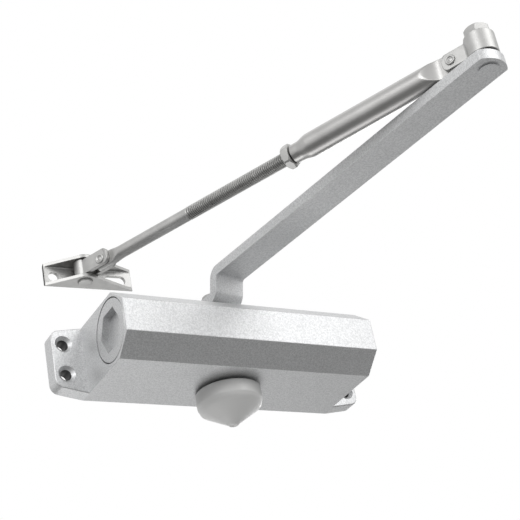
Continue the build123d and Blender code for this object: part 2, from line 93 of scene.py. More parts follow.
class Tree:
    def __init__(self, nodeTree):
        self.tree = nodeTree
        self.tree.nodes.clear()

    def add(self, kind, settings=None, values=None, out=0):
        node = self.tree.nodes.new(kind)
        for key, value in (settings or {}).items():
            if key == "stops":
                ramp = node.color_ramp
                while len(ramp.elements) < len(value):
                    ramp.elements.new(0.5)
                for element, (place, grey) in zip(ramp.elements, value):
                    element.position = place
                    element.color = (grey, grey, grey, 1)
            else:
                setattr(node, key, value)
        for key, value in (values or {}).items():
            self.feed(node.inputs[key], value)
        return Socket(self, node.outputs[out]) if len(node.outputs) else None

    def feed(self, socket, value):
        if isinstance(value, Socket):
            self.tree.links.new(value.socket, socket)
        elif isinstance(value, (tuple, list)) and socket.type == "RGBA" and len(value) == 3:
            socket.default_value = (*value, 1)
        else:
            socket.default_value = value

    def where(self):
        return self.add("ShaderNodeTexCoord", out=3)

    def apart(self, axis):
        return self.add("ShaderNodeSeparateXYZ", None, {"Vector": self.where()}, out="XYZ".index(axis))

    def noise(self, scale, detail=2.0, stretch=None, rough=0.5):
        place = self.where()
        if stretch:
            place = self.add("ShaderNodeMapping", None, {"Vector": place, **stretch})
        return self.add("ShaderNodeTexNoise", None,
                        {"Vector": place, "Scale": scale, "Detail": detail, "Roughness": rough})

    def ramp(self, factor, *stops):  # stops hold (place, grey) pairs
        return self.add("ShaderNodeValToRGB", {"stops": stops}, {0: factor})

    def blend(self, factor, a, b):
        node = self.tree.nodes.new("ShaderNodeMix")
        node.data_type = "RGBA"
        for socket, value in zip((node.inputs[0], node.inputs[6], node.inputs[7]), (factor, a, b)):
            self.feed(socket, value)
        return Socket(self, node.outputs[2])

    def bump(self, height, strength, distance):
        return self.add("ShaderNodeBump", None,
                        {"Height": height, "Strength": strength, "Distance": distance})

    def finish(self, **values):
        shader = self.add("ShaderNodeBsdfPrincipled", None,
                          {key.replace("_", " "): value for key, value in values.items()})
        self.add("ShaderNodeOutputMaterial", None, {"Surface": shader})


def newMaterial(name):
    made = bpy.data.materials.new(name)
    made.use_nodes = True
    return made, Tree(made.node_tree)


def shaded(tone, share):
    return [v * share for v in tone]


silverPaint = {
    "tone": (0.74, 0.745, 0.75),
    "darkTone": (0.52, 0.525, 0.53),
    "metallic": 0.55,
    "roughness": 0.44,
    "fleckScale": 2100.0,
    "grainScale": 1155.0,
    "grainEdge": (0.36, 0.64),
    "cloudScale": 90.0,
    "bump": (0.14, 0.00012),
}


def makeSilverPaint(name, recipe, shade=1.0, holeShade=None):
    made, t = newMaterial(name)
    flecks = t.add("ShaderNodeTexVoronoi", None,
                   {"Vector": t.where(), "Scale": recipe["fleckScale"]}, out=1)
    grain = t.noise(recipe["grainScale"], 3.0, None, 0.7)
    cloud = t.noise(recipe["cloudScale"], 3.0)
    spots = t.ramp(flecks, (0.0, 0.0), (0.75, 0.35), (1.0, 1.0))
    tone, dark = shaded(recipe["tone"], shade), shaded(recipe["darkTone"], shade)
    darkTo, lightFrom = recipe["grainEdge"]
    base = t.blend(t.ramp(grain, (darkTo, 1.0), (lightFrom, 0.0)), tone, dark)
    base = t.blend(t.ramp(cloud, (0.35, 0.10), (0.65, 0.0)), base, dark)
    if holeShade:  # painted shade: the bores of the screw holes through the ears are painted dark, where shade falls inside them
        across = t.apart("X").unsigned() - holeShade["x"]
        up = t.apart("Z").unsigned() - holeShade["z"]
        inside = (across * across + up * up).root() < holeShade["radius"]
        base = t.blend(inside, base, holeShade["tone"])
    t.finish(Base_Color=base, Metallic=recipe["metallic"],
             Roughness=recipe["roughness"] - 0.10 * spots + 0.06 * cloud,
             Normal=t.bump(grain, *recipe["bump"]))
    return made


zincPlate = {
    "tone": (0.46, 0.458, 0.45),
    "darkTone": (0.31, 0.31, 0.305),
    "roughness": 0.38,
    "brushScale": 900.0,
    "cloudScale": 140.0,
    "bump": (0.08, 0.0001),
}


def makeZincPlate(name, recipe, roughness=zincPlate["roughness"], shade=1.0):
    made, t = newMaterial(name)
    grain = t.noise(recipe["brushScale"], 3.0, None, 0.6)
    cloud = t.noise(recipe["cloudScale"], 4.0, None, 0.6)
    tone, dark = shaded(recipe["tone"], shade), shaded(recipe["darkTone"], shade)
    base = t.blend(t.ramp(cloud, (0.35, 0.5), (0.7, 0.0)), tone, dark)
    t.finish(Base_Color=base, Metallic=1.0, Roughness=roughness + 0.12 * cloud + 0.05 * grain,
             Normal=t.bump(grain, *recipe["bump"]))
    return made


drawnTube = {
    "tone": (0.42, 0.417, 0.41),
    "darkTone": (0.31, 0.305, 0.30),
    "roughness": 0.30,
    "turn": 114.15,
    "lineScale": 2600.0,
    "lineStretch": 0.03,
    "cloudScale": 60.0,
    "bump": (0.10, 0.00008),
}


def makeDrawnTube(name, recipe):
    made, t = newMaterial(name)
    along = {"Rotation": (0, 0, math.radians(-recipe["turn"])), "Scale": (recipe["lineStretch"], 1, 1)}
    lines = t.noise(recipe["lineScale"], 2.0, along, 0.6)
    cloud = t.noise(recipe["cloudScale"], 4.0, None, 0.6)
    base = t.blend(t.ramp(cloud, (0.4, 0.35), (0.65, 0.0)), recipe["tone"], recipe["darkTone"])
    t.finish(Base_Color=base, Metallic=1.0,
             Roughness=recipe["roughness"] + 0.10 * lines + 0.06 * cloud,
             Normal=t.bump(lines, *recipe["bump"]))
    return made


coverPlastic = {"tone": (0.90, 0.90, 0.89), "roughness": 0.34}
blackPlastic = {"tone": (0.03, 0.03, 0.032), "roughness": 0.5}
sealRubber = {"tone": (0.015, 0.015, 0.015), "roughness": 0.65}
plasticGrain = {"grainScale": 1500.0, "cloudScale": 45.0, "darker": 0.93, "bump": (0.04, 0.00006)}


def makePlastic(name, recipe):
    made, t = newMaterial(name)
    grain = t.noise(plasticGrain["grainScale"])
    cloud = t.noise(plasticGrain["cloudScale"], 3.0)
    dark = shaded(recipe["tone"], plasticGrain["darker"])
    base = t.blend(t.ramp(cloud, (0.35, 0.6), (0.7, 0.0)), recipe["tone"], dark)
    t.finish(Base_Color=base, Metallic=0.0, Roughness=recipe["roughness"] + 0.06 * grain,
             Normal=t.bump(grain, *plasticGrain["bump"]))
    return made


# painted shade: where and how dark the bores of the ear screw holes are painted, standing in for the shade inside
# them
earHolePaintedShade = {"x": 0.0945, "z": 0.0095, "radius": 0.0034, "tone": (0.05, 0.05, 0.05)}
materials = {
    "silver_paint": makeSilverPaint("silverPaint", silverPaint, holeShade=earHolePaintedShade),
    # painted light: the arm takes the body's silver paint made 4% lighter, standing in for light on its shaded
    # underside
    "arm_paint": makeSilverPaint("armPaintPaintedLight", silverPaint, 1.04),
    "silver_plug": makeSilverPaint("silverPlugPaint", silverPaint, 0.93),
    "zinc_steel": makeZincPlate("zincPlate", zincPlate),
    "bright_steel": makeDrawnTube("drawnTube", drawnTube),
    "grey_plastic": makePlastic("coverPlastic", coverPlastic),
    "black_plastic": makePlastic("blackPlastic", blackPlastic),
    "black_rubber": makePlastic("sealRubber", sealRubber),
    "dark_steel": makeZincPlate("oiledSteel", zincPlate, 0.34, 0.6),
    "ball_steel": makeZincPlate("groundSteel", zincPlate, 0.16, 1.1),
    "spring_steel": makeZincPlate("springSteel", zincPlate, 0.36, 0.45),
}
slotOf = {s["node"]: s["material_slot"] for s in frame["record"]["subparts"]}
for name, cadNode in nodes.items():
    cadNode.data.materials.clear()
    cadNode.data.materials.append(materials[slotOf[name]])
print("materials made,", len(materials))


studio = {
    "floor": -2.4,
    "floorSize": 12,
    "floorTone": (0.84, 0.84, 0.835),
    "floorRoughness": 0.9,
    "sky": 1.0,
    "ambient": 0.29,
}


# the sky that the camera and the mirrors see is brighter than the sky that lights the scene
def makeWorld(recipe):
    world = bpy.data.worlds.new("paleStudio")
    scene.world = world
    world.use_nodes = True
    t = Tree(world.node_tree)
    rays = t.tree.nodes.new("ShaderNodeLightPath")
    kinds = ("Is Camera Ray", "Is Glossy Ray", "Is Transmission Ray")
    seen, glossy, through = [Socket(t, rays.outputs[kind]) for kind in kinds]
    power = t.add("ShaderNodeMix", {"data_type": "FLOAT"},
                  {0: seen + glossy + through, 2: recipe["ambient"], 3: recipe["sky"]})
    back = t.add("ShaderNodeBackground", None, {"Color": (1, 1, 1), "Strength": power})
    t.add("ShaderNodeOutputWorld", None, {"Surface": back})


makeWorld(studio)

bpy.ops.object.select_all(action="DESELECT")
bpy.ops.mesh.primitive_plane_add(size=studio["floorSize"], location=(0, 0, studio["floor"]))
floor = bpy.context.object
floor.name = "paleFloor"
floorPaint, floorTree = newMaterial("floorPaint")
floorTree.finish(Base_Color=studio["floorTone"], Roughness=studio["floorRoughness"])
floor.data.materials.append(floorPaint)
floor.visible_camera = False

lampSpread = 100
lamps = {
    "keyLamp": {"at": (0.55, -1.15, 0.70), "aim": (0.0, -0.08, 0.0), "size": 0.9, "watts": 2.1},
    "leftLamp": {"at": (-1.10, -0.75, 0.45), "aim": (-0.05, -0.05, 0.0), "size": 0.7, "watts": 2.2},
    "lowBackLamp": {"at": (0.25, 1.25, -1.75), "aim": (0.0, -0.1, 0.0), "size": 1.2, "watts": 3.8},
    "rightBackLamp": {"at": (1.0, 0.6, 0.3), "aim": (0.0, -0.1, 0.05), "size": 0.5, "watts": 1.0},
    "topLamp": {"at": (0.1, 0.4, 1.4), "aim": (0.0, -0.1, 0.0), "size": 1.0, "watts": 0.4},
}
for name, lamp in lamps.items():
    light = bpy.data.lights.new(name, "AREA")
    light.size = lamp["size"]
    light.energy = lamp["watts"]
    light.spread = math.radians(lampSpread)
    stand = bpy.data.objects.new(name, light)
    scene.collection.objects.link(stand)
    stand.location = lamp["at"]
    aimWay = Vector(lamp["aim"]) - Vector(lamp["at"])
    stand.rotation_euler = aimWay.to_track_quat("-Z", "Y").to_euler()

cameraSpot = {
    "at": (-0.4131, -0.7010, -0.3735),
    "right": (0.8671, -0.4666, -0.1745),
    "up": (-0.0970, -0.5017, 0.8596),
    "lens": 101.41,
    "sensor": 36,
}
camera = bpy.data.objects.new("camera", bpy.data.cameras.new("camera"))
scene.collection.objects.link(camera)
cameraRight, cameraUp = [Vector(cameraSpot[key]).normalized() for key in ("right", "up")]
cameraTurn = Matrix((cameraRight, cameraUp, cameraRight.cross(cameraUp))).transposed().to_4x4()
camera.matrix_world = Matrix.Translation(cameraSpot["at"]) @ cameraTurn
camera.data.lens = cameraSpot["lens"]
camera.data.sensor_width = cameraSpot["sensor"]
scene.camera = camera
print("camera, lamps and floor set")

# places and directions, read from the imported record
joints = {joint["name"]: joint for joint in frame["joints"]}
mounts = {mount["name"]: mount for mount in frame["record"]["mounts"]}
upWay = Vector((0, 0, 1))


def spot(joint):
    return Vector(joints[joint]["pos_m"])


def boxOf(name):  # the two corners of a CAD node, in millimetres
    return [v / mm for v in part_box(name)]


def axesAt(origin, along, up=upWay):
    x = Vector(along).normalized()
    y = Vector(up).cross(x).normalized()
    return Matrix.Translation(origin) @ Matrix((x, y, x.cross(y))).transposed().to_4x4()


shaftSpot, elbowSpot, pinSpot = spot("pinion_turn"), spot("elbow_swing"), spot("shoe_swing")
shaftFoot, elbowFoot = Vector((shaftSpot.x, shaftSpot.y, 0)), Vector((elbowSpot.x, elbowSpot.y, 0))
rivetSpot, shoeRivetSpot = spot("elbow_tilt"), spot("shoe_tilt")
foreWay = Vector(joints["rod_length"]["axis"])
levelWay = Vector((foreWay.x, foreWay.y, 0))
foreAxes = axesAt(rivetSpot - foreWay * (rivetSpot - elbowSpot).length, foreWay)
levelAxes = axesAt(elbowFoot, levelWay)
armAxes = axesAt(shaftFoot, elbowFoot - shaftFoot)
armLength = (elbowFoot - shaftFoot).length / mm
shoeAxes = axesAt(pinSpot, Vector(mounts["shoe_face"]["axis"]).cross(upWay))
alongX = Matrix.Rotation(math.radians(90), 4, "Y")
alongY = Matrix.Rotation(math.radians(-90), 4, "X")

sameGap = 0.01  # places nearer than this count as one, in millimetres
ringGap = 0.05  # vertices this near to a height belong to its ring
past = 1.0  # how far a cutter reaches past the piece


def editMode():
    bpy.ops.object.mode_set(mode="EDIT")


def objectMode():
    if bpy.context.object and bpy.context.object.mode != "OBJECT":
        bpy.ops.object.mode_set(mode="OBJECT")


def startPiece(name, addPrimitive, **settings):
    objectMode()
    bpy.ops.object.select_all(action="DESELECT")
    addPrimitive(**settings)
    bpy.context.object.name = name
    bpy.ops.object.transform_apply(location=True, rotation=True, scale=True)
    editMode()
    bpy.ops.mesh.select_all(action="SELECT")
    return bpy.context.object


def take(piece):
    objectMode()
    bpy.ops.object.select_all(action="DESELECT")
    piece.select_set(True)
    bpy.context.view_layer.objects.active = piece


def edit(piece):
    take(piece)
    editMode()


def pick(piece, kind, test):  # selects the vertices, edges or faces that pass the test
    bpy.ops.mesh.select_mode(type=kind)
    bpy.ops.mesh.select_all(action="DESELECT")
    mesh = bmesh.from_edit_mesh(piece.data)
    items = {"VERT": mesh.verts, "EDGE": mesh.edges, "FACE": mesh.faces}[kind]
    for item in items:
        item.select_set(test(item))
    mesh.select_flush_mode()
    bmesh.update_edit_mesh(piece.data)


def middle(item):
    points = [item.co] if hasattr(item, "co") else [vert.co for vert in item.verts]
    return sum(points, Vector()) / len(points) / mm


def atHeight(item, height):
    return abs(middle(item).z - height) < ringGap


def pull(x=0, y=0, z=0):
    bpy.ops.mesh.extrude_region_move(TRANSFORM_OT_translate={"value": (x * mm, y * mm, z * mm)})


def stretch(x, y, z, at=(0, 0, 0)):
    bpy.ops.transform.resize(value=(x, y, z), center_override=[v * mm for v in at])


def changeBy(piece, kind, **settings):  # adds a modifier and applies it
    take(piece)
    change = piece.modifiers.new(kind.lower(), kind)
    for key, value in settings.items():
        setattr(change, key, value)
    bpy.ops.object.modifier_apply(modifier=change.name)


def softEdges(piece, width, degrees=30, steps=2):
    changeBy(piece, "BEVEL", width=width * mm, segments=steps, limit_method="ANGLE",
             angle_limit=math.radians(degrees))


def carve(piece, tool, operation="DIFFERENCE"):
    changeBy(piece, "BOOLEAN", operation=operation, solver="EXACT", object=tool)
    bpy.data.objects.remove(tool, do_unlink=True)


def moveTo(piece, place):
    take(piece)
    piece.matrix_world = place
    bpy.ops.object.transform_apply(location=True, rotation=True, scale=True)


def turned(name, profile, sides=96, ring=False, place=None):
    # a circle pulled up and resized step by step; profile holds (height, radius) pairs
    height, radius = profile[0]
    piece = startPiece(name, bpy.ops.mesh.primitive_circle_add, vertices=sides, radius=radius * mm,
                       fill_type="NOTHING" if ring else "NGON", location=(0, 0, height * mm))
    for nextHeight, nextRadius in profile[1:]:
        pull(z=nextHeight - height)
        stretch(nextRadius / radius, nextRadius / radius, 1, (0, 0, nextHeight))
        height, radius = nextHeight, nextRadius
    bpy.ops.mesh.select_all(action="SELECT")
    bpy.ops.mesh.remove_doubles(threshold=0.004 * mm)
    bpy.ops.mesh.normals_make_consistent(inside=False)
    objectMode()
    if place is not None:
        moveTo(piece, place)
    return piece


def roundBar(radius, low, high):
    return turned("roundBar", [(low, radius), (high, radius)])


def cornerRadius(acrossFlats):
    return acrossFlats / 2 / math.cos(math.pi / 6)


def hexBar(acrossFlats, low, high, turn):
    corner = cornerRadius(acrossFlats)
    bar = turned("hexBar", [(low, corner), (high, corner)], 6)
    moveTo(bar, Matrix.Rotation(math.radians(turn), 4, "Z"))
    return bar


def block(name, low, high):  # a box between two corners, left in edit mode
    centre = [(a + b) / 2 for a, b in zip(low, high)]
    piece = startPiece(name, bpy.ops.mesh.primitive_cube_add, size=mm, location=[v * mm for v in centre])
    stretch(*[b - a for a, b in zip(low, high)], centre)
    return piece


def finishPiece(piece, body, replaced, slot, degrees=38):
    edit(piece)
    bpy.ops.mesh.select_all(action="SELECT")
    bpy.ops.mesh.normals_make_consistent(inside=False)
    objectMode()
    bpy.ops.object.shade_smooth_by_angle(angle=math.radians(degrees))
    changeBy(piece, "WEIGHTED_NORMAL", keep_sharp=True, weight=80)
    piece.data.materials.clear()
    piece.data.materials.append(materials[slot])
    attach(piece, body)
    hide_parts(*replaced)
    print(piece.name, "made,", len(piece.data.polygons), "faces")
    return piece


# two ways from 0 to 1 that start and end gently
def eased(share):
    return share * share * (3 - 2 * share)


def waved(share):
    return (1 - math.cos(math.pi * share)) / 2


# threaded rod: a screwed thread, a plain stretch and a pressed flat end
rodSizes = {
    "threadTop": 4.0,
    "threadRoot": 3.15,
    "pitch": 1.25,
    "flanks": (0.36, 0.13, 0.36, 0.15),  # up, crest, down and root as shares of the pitch
    "around": 40,
    "threadFrom": 65.0,
    "threadTo": 196.0,
    "runOut": ((-1.4, 3.2), (-0.2, 3.4), (0.2, 3.73), (0.5, 3.85)),
    "plain": 3.85,
    "flatHalf": 2.0,
    "flatTall": 4.75,
    "pressFrom": 248.5,
    "pressTo": 256.5,
    "pressSteps": 7,
    "tip": 267.4,
    "tipCut": (0.6, 0.3),
    "edge": 0.35,
}


def makeRod(size):
    pitch = size["pitch"]
    turns = int((size["threadTo"] - size["threadFrom"]) / pitch)
    start = size["threadTo"] - turns * pitch
    thread = startPiece("threadedRod", bpy.ops.mesh.primitive_plane_add, size=mm,
                        location=(size["threadRoot"] * mm, 0, start * mm))
    bpy.ops.mesh.merge(type="CENTER")
    depth = size["threadTop"] - size["threadRoot"]
    for x, share in zip((depth, 0, -depth, 0), size["flanks"]):
        move = (x * mm, 0, share * pitch * mm)
        bpy.ops.mesh.extrude_vertices_move(TRANSFORM_OT_translate={"value": move})
    changeBy(thread, "SCREW", steps=size["around"], render_steps=size["around"], iterations=turns,
             use_merge_vertices=True, merge_threshold=sameGap * mm, screw_offset=pitch * mm, axis="Z")
    edit(thread)
    bpy.ops.mesh.select_all(action="SELECT")
    bpy.ops.mesh.fill_holes(sides=0)
    plain, steps, tip = size["plain"], size["pressSteps"], size["tip"]
    span = size["pressTo"] - size["pressFrom"]
    rings = [size["pressFrom"] + span * k / steps for k in range(1, steps + 1)]
    profile = [(size["threadTo"] + z, radius) for z, radius in size["runOut"]]
    profile += [(height, plain) for height in [size["pressFrom"], *rings]]
    profile += [(tip - size["tipCut"][0], plain), (tip, plain - size["tipCut"][1])]
    bar = turned("plainRod", profile)
    edit(bar)
    for k, height in enumerate(rings, 1):  # the round bar is pressed flat little by little
        def pressed(v):  # the last ring takes the whole end with it
            return atHeight(v, height) or (k == steps and middle(v).z > height)

        pick(bar, "VERT", pressed)
        stretch(1 + (size["flatTall"] / plain - 1) * waved(k / steps), 1, 1)
        half = plain + (size["flatHalf"] - plain) * waved(k / steps)
        for side in (-1, 1):
            pick(bar, "VERT", lambda v: pressed(v) and side * middle(v).y > half)
            stretch(1, 0, 1, (0, side * half, 0))
    softEdges(bar, size["edge"], 50)
    take(thread)
    bar.select_set(True)
    bpy.ops.object.join()
    moveTo(thread, foreAxes @ alongX)
    return thread


finishPiece(makeRod(rodSizes), "rod", ["forearm_rod"], "zinc_steel", 30)


# forearm tube: drawn tube with a pressed flat end and a swaged neck
tubeSizes = {
    "radius": 6.8,
    "neck": 5.4,
    "flatHalf": 2.0,
    "flatTall": 6.4,
    "sideLead": 1.05,
    "tip": 10.0,
    "tipRings": (0.0, 1.0, 2.5, 4.5),
    "tipFrom": 0.6,
    "tipRound": 5.0,
    "flatTo": 23.5,
    "roundFrom": 36.0,
    "roundSteps": 12,
    "shoulder": 108.5,
    "neckFrom": 116.5,
    "neckSteps": 8,
    "mouth": 120.5,
    "mouthRings": ((0.35, 5.4), (0, 5.1), (0, 4.5), (0.4, 4.2), (9, 4.2)),  # back from the mouth, radius
}


def makeTube(size):
    radius, tall, steps = size["radius"], size["flatTall"], size["roundSteps"]
    span = size["roundFrom"] - size["flatTo"]
    heights = [size["tip"] + z for z in size["tipRings"]]
    heights += [size["flatTo"] + span * k / steps for k in range(steps + 1)]
    profile = [(height, radius) for height in heights]
    slope, steps = size["neckFrom"] - size["shoulder"], size["neckSteps"]
    for k in range(steps + 1):
        narrow = (size["neck"] - radius) * waved(k / steps)
        profile.append((size["shoulder"] + slope * k / steps, radius + narrow))
    profile += [(size["mouth"] - z, r) for z, r in size["mouthRings"]]
    tube = turned("swagedTube", profile)
    edit(tube)
    for height in heights:
        ease = eased(min(1.0, max(0.0, (height - size["flatTo"]) / span)))
        tipShare = min(1.0, (height - size["tip"] + size["tipFrom"]) / size["tipRound"])
        rise = (tall + (radius - tall) * ease) * math.sqrt(1 - (1 - tipShare) ** 2)
        half = size["flatHalf"] + (radius - size["flatHalf"]) * min(1.0, ease * size["sideLead"])
        pick(tube, "VERT", lambda v: atHeight(v, height))
        stretch(rise / radius, 1, 1)
        for side in (-1, 1):
            pick(tube, "VERT", lambda v: atHeight(v, height) and side * middle(v).y > half)
            stretch(1, 0, 1, (0, side * half, 0))
    moveTo(tube, foreAxes @ alongX)
    return tube


finishPiece(makeTube(tubeSizes), "tube", ["forearm_tube"], "bright_steel", 50)


# lock nut: a hexagon with its corners turned off at both faces
nutSizes = {
    "acrossFlats": 13.0,
    "from": 121.0,
    "thick": 4.8,
    "face": 6.2,
    "faceDrop": 1.1,
    "cornerCut": 0.3,
    "turn": 12.0,
    "bore": 4.05,
    "sink": 1.6,
    "sinkDeep": 0.7,
    "edge": 0.16,
}


def makeNut(size):
    low, high = size["from"], size["from"] + size["thick"]
    drop, corner = size["faceDrop"], cornerRadius(size["acrossFlats"]) - size["cornerCut"]
    nut = turned("lockNut", [(low, size["face"]), (low + drop, corner), (high - drop, corner),
                             (high, size["face"])])
    carve(nut, hexBar(size["acrossFlats"], low - past, high + past, size["turn"]), "INTERSECT")
    bore, deep = size["bore"], size["sinkDeep"]
    wide = bore + size["sink"]
    carve(nut, turned("nutBore", [(low - past, wide), (low + deep, bore), (high - deep, bore),
                                  (high + past, wide)]))
    softEdges(nut, size["edge"], 24)
    moveTo(nut, foreAxes @ alongX)
    return nut


finishPiece(makeNut(nutSizes), "nut", ["lock_nut"], "zinc_steel")


# folded straps: a flat strip bent round a pin, with two legs that hold a flat end
strapSteps = {"bend": 6, "roll": 48, "tip": 8}


def foldedStrap(name, size):
    thick, tall, end = size["thick"], size["tall"], size["end"]
    roll = size["outer"] - thick / 2
    legY = size["gap"] / 2 + thick / 2
    bend = size["bend"] + thick / 2
    bendX = math.sqrt((roll + bend) ** 2 - (legY + bend) ** 2)
    wrap = math.degrees(math.atan2(legY + bend, bendX))
    strap = startPiece(name, bpy.ops.mesh.primitive_plane_add, size=mm,
                       rotation=(0, math.radians(90), 0), location=(end * mm, legY * mm, 0))
    stretch(1, thick, tall, (end, legY, 0))
    pull(x=bendX - end)
    for turn, steps, x, y in ((90 - wrap, strapSteps["bend"], bendX, legY + bend),
                              (2 * wrap - 360, strapSteps["roll"], 0, 0),
                              (90 - wrap, strapSteps["bend"], bendX, -legY - bend)):
        bpy.ops.mesh.spin(steps=steps, angle=math.radians(turn), center=(x * mm, y * mm, 0), axis=(0, 0, 1))
    pull(x=end - bendX)
    bpy.ops.mesh.select_all(action="SELECT")
    bpy.ops.mesh.remove_doubles(threshold=0.002 * mm)
    bpy.ops.mesh.normals_make_consistent(inside=False)

    def legShare(v):  # 1 along the legs, less through the bend, 0 round the roll
        x, y = middle(v).x, abs(middle(v).y)
        turnBack = math.atan2(bendX - x, legY + bend - y)
        share = round(max(0.0, 1 - turnBack / math.radians(90 - wrap)), 3)
        return 1.0 if x >= bendX - sameGap else share

    # the legs are less tall than the roll, and grow to it through the bend
    shares = sorted({legShare(v) for v in bmesh.from_edit_mesh(strap.data).verts} - {0.0})
    for share in shares:
        pick(strap, "VERT", lambda v: legShare(v) == share)
        stretch(1, 1, 1 + (size["legTall"] / tall - 1) * eased(share))
        bpy.ops.transform.translate(value=(0, 0, size["legDrop"] * eased(share) * mm))
    pick(strap, "EDGE", lambda e: all(abs(v.co.x / mm - end) < sameGap for v in e.verts)
         and abs(e.verts[0].co.z - e.verts[1].co.z) < sameGap * mm)
    bpy.ops.mesh.bevel(offset=size["tipRound"] * mm, segments=strapSteps["tip"], affect="EDGES")
    softEdges(strap, size["edge"], 50, 3)
    return strap


kneeBox, armBox, boltBox = boxOf("elbow_knuckle"), boxOf("main_arm"), boxOf("elbow_bolt")
barrelTall, armThick = 12.4, 6.0
barrelTop = kneeBox[0].z + barrelTall
elbowStrapSizes = {
    "outer": 8.3,
    "thick": 2.8,
    "tall": barrelTall,
    "gap": 4.1,
    "bend": 1.6,
    "end": 21.6,
    "legTall": 9.8,
    "legDrop": rivetSpot.z / mm - kneeBox[0].z - barrelTall / 2,
    "tipRound": 3.4,
    "edge": 0.45,
}
elbowStrap = foldedStrap("elbowStrap", elbowStrapSizes)
moveTo(elbowStrap, Matrix.Translation((0, 0, (kneeBox[0].z + barrelTop) / 2 * mm)) @ levelAxes)
finishPiece(elbowStrap, "elbow", ["elbow_knuckle"], "zinc_steel", 50)


# rivets: a pin with a ring pressed out at both ends; the ring's pairs hold the height over the strap and
# the share of the head's radius
rivetMiddle = (0.55, 0.05)
rivetRing = ((0.5, 0.20), (0.25, 0.36), (0.22, 0.44), (0.55, 0.54), (0.85, 0.66), (0.9, 0.78),
             (0.75, 0.92), (0.35, 1), (0, 1))


def makeRivet(name, size):
    out, pin = size["out"], size["pin"]
    ring = [rivetMiddle] + [(rise, share * size["head"]) for rise, share in rivetRing]
    profile = [(-out - rise, radius) for rise, radius in ring] + [(-out, pin), (out, pin)]
    profile += [(out + rise, radius) for rise, radius in reversed(ring)]
    return turned(name, profile)


rivetSizes = {"head": 2.9, "out": 4.86, "pin": 1.8}
elbowRivet = makeRivet("elbowRivet", rivetSizes)
moveTo(elbowRivet, axesAt(rivetSpot, levelWay) @ alongY)
finishPiece(elbowRivet, "elbow", ["elbow_rivet"], "zinc_steel", 60)

# elbow bolt: the dome's pairs hold the share of the head's height and the radius
boltSizes = {
    "acrossFlats": 13.0,
    "gap": 0.35,
    "dome": ((0, 7.2), (0.12, 7.45), (0.5, 7.45), (0.64, 7.1), (0.76, 6.5), (0.88, 5.6), (0.96, 4.6), (1, 3.9)),
    "turn": 12.0,
    "shank": 4.0,
    "shankIn": 0.5,
    "stubIn": 0.25,
    "stubEnd": ((0.25, 2.6), (0.12, 3.2), (0, 3.6), (0.15, 4.0)),
    "edge": 0.22,
}


def makeElbowBolt(size):
    low, high = barrelTop + size["gap"], boltBox[1].z
    bolt = turned("elbowBolt", [(low + share * (high - low), radius) for share, radius in size["dome"]])
    carve(bolt, hexBar(size["acrossFlats"], low - past, high + past, size["turn"]), "INTERSECT")
    stub = armBox[1].z - armThick + size["stubIn"]
    shank = [(stub + z, radius) for z, radius in size["stubEnd"]]
    carve(bolt, turned("boltShank", shank + [(low + size["shankIn"], size["shank"])]), "UNION")
    softEdges(bolt, size["edge"], 25)
    moveTo(bolt, Matrix.Translation(elbowFoot))
    return bolt


finishPiece(makeElbowBolt(boltSizes), "pinion", ["elbow_bolt"], "zinc_steel", 35)

washerSizes = {"outer": 7.0, "bore": 4.03, "edge": 0.25, "play": 0.05}


def makeElbowWasher(size):
    low, high, edge = armBox[1].z, kneeBox[0].z - size["play"], size["edge"]
    outer, bore = size["outer"], size["bore"]
    profile = [(low, bore), (low, outer - edge), (low + edge, outer), (high - edge, outer),
               (high, outer - edge), (high, bore), (low, bore)]
    return turned("elbowWasher", profile, ring=True, place=Matrix.Translation(elbowFoot))


finishPiece(makeElbowWasher(washerSizes), "pinion", ["elbow_washer"], "black_plastic")
print("elbow made")


# main arm: flat bar, cranked twice; the hole mouth's pairs hold a height and how much wider the hole is there
armSizes = {
    "wide": 20.5,
    "blankWide": 22.55,
    "thick": armThick,
    "footCorner": 14.23,
    "longCorner": 18.33,
    "bend": 5.0,
    "bendSteps": 12,
    "sideEnd": 4.0,
    "tip": 8.5,
    "outlineTall": 90.0,
    "edge": 0.7,
    "boltHole": 4.03,
    "holeMouth": ((-1, 1.4), (-0.01, 0.5), (0.12, 0.3), (0.4, 0.06), (0.7, 0)),
    "square": 11.04,
}


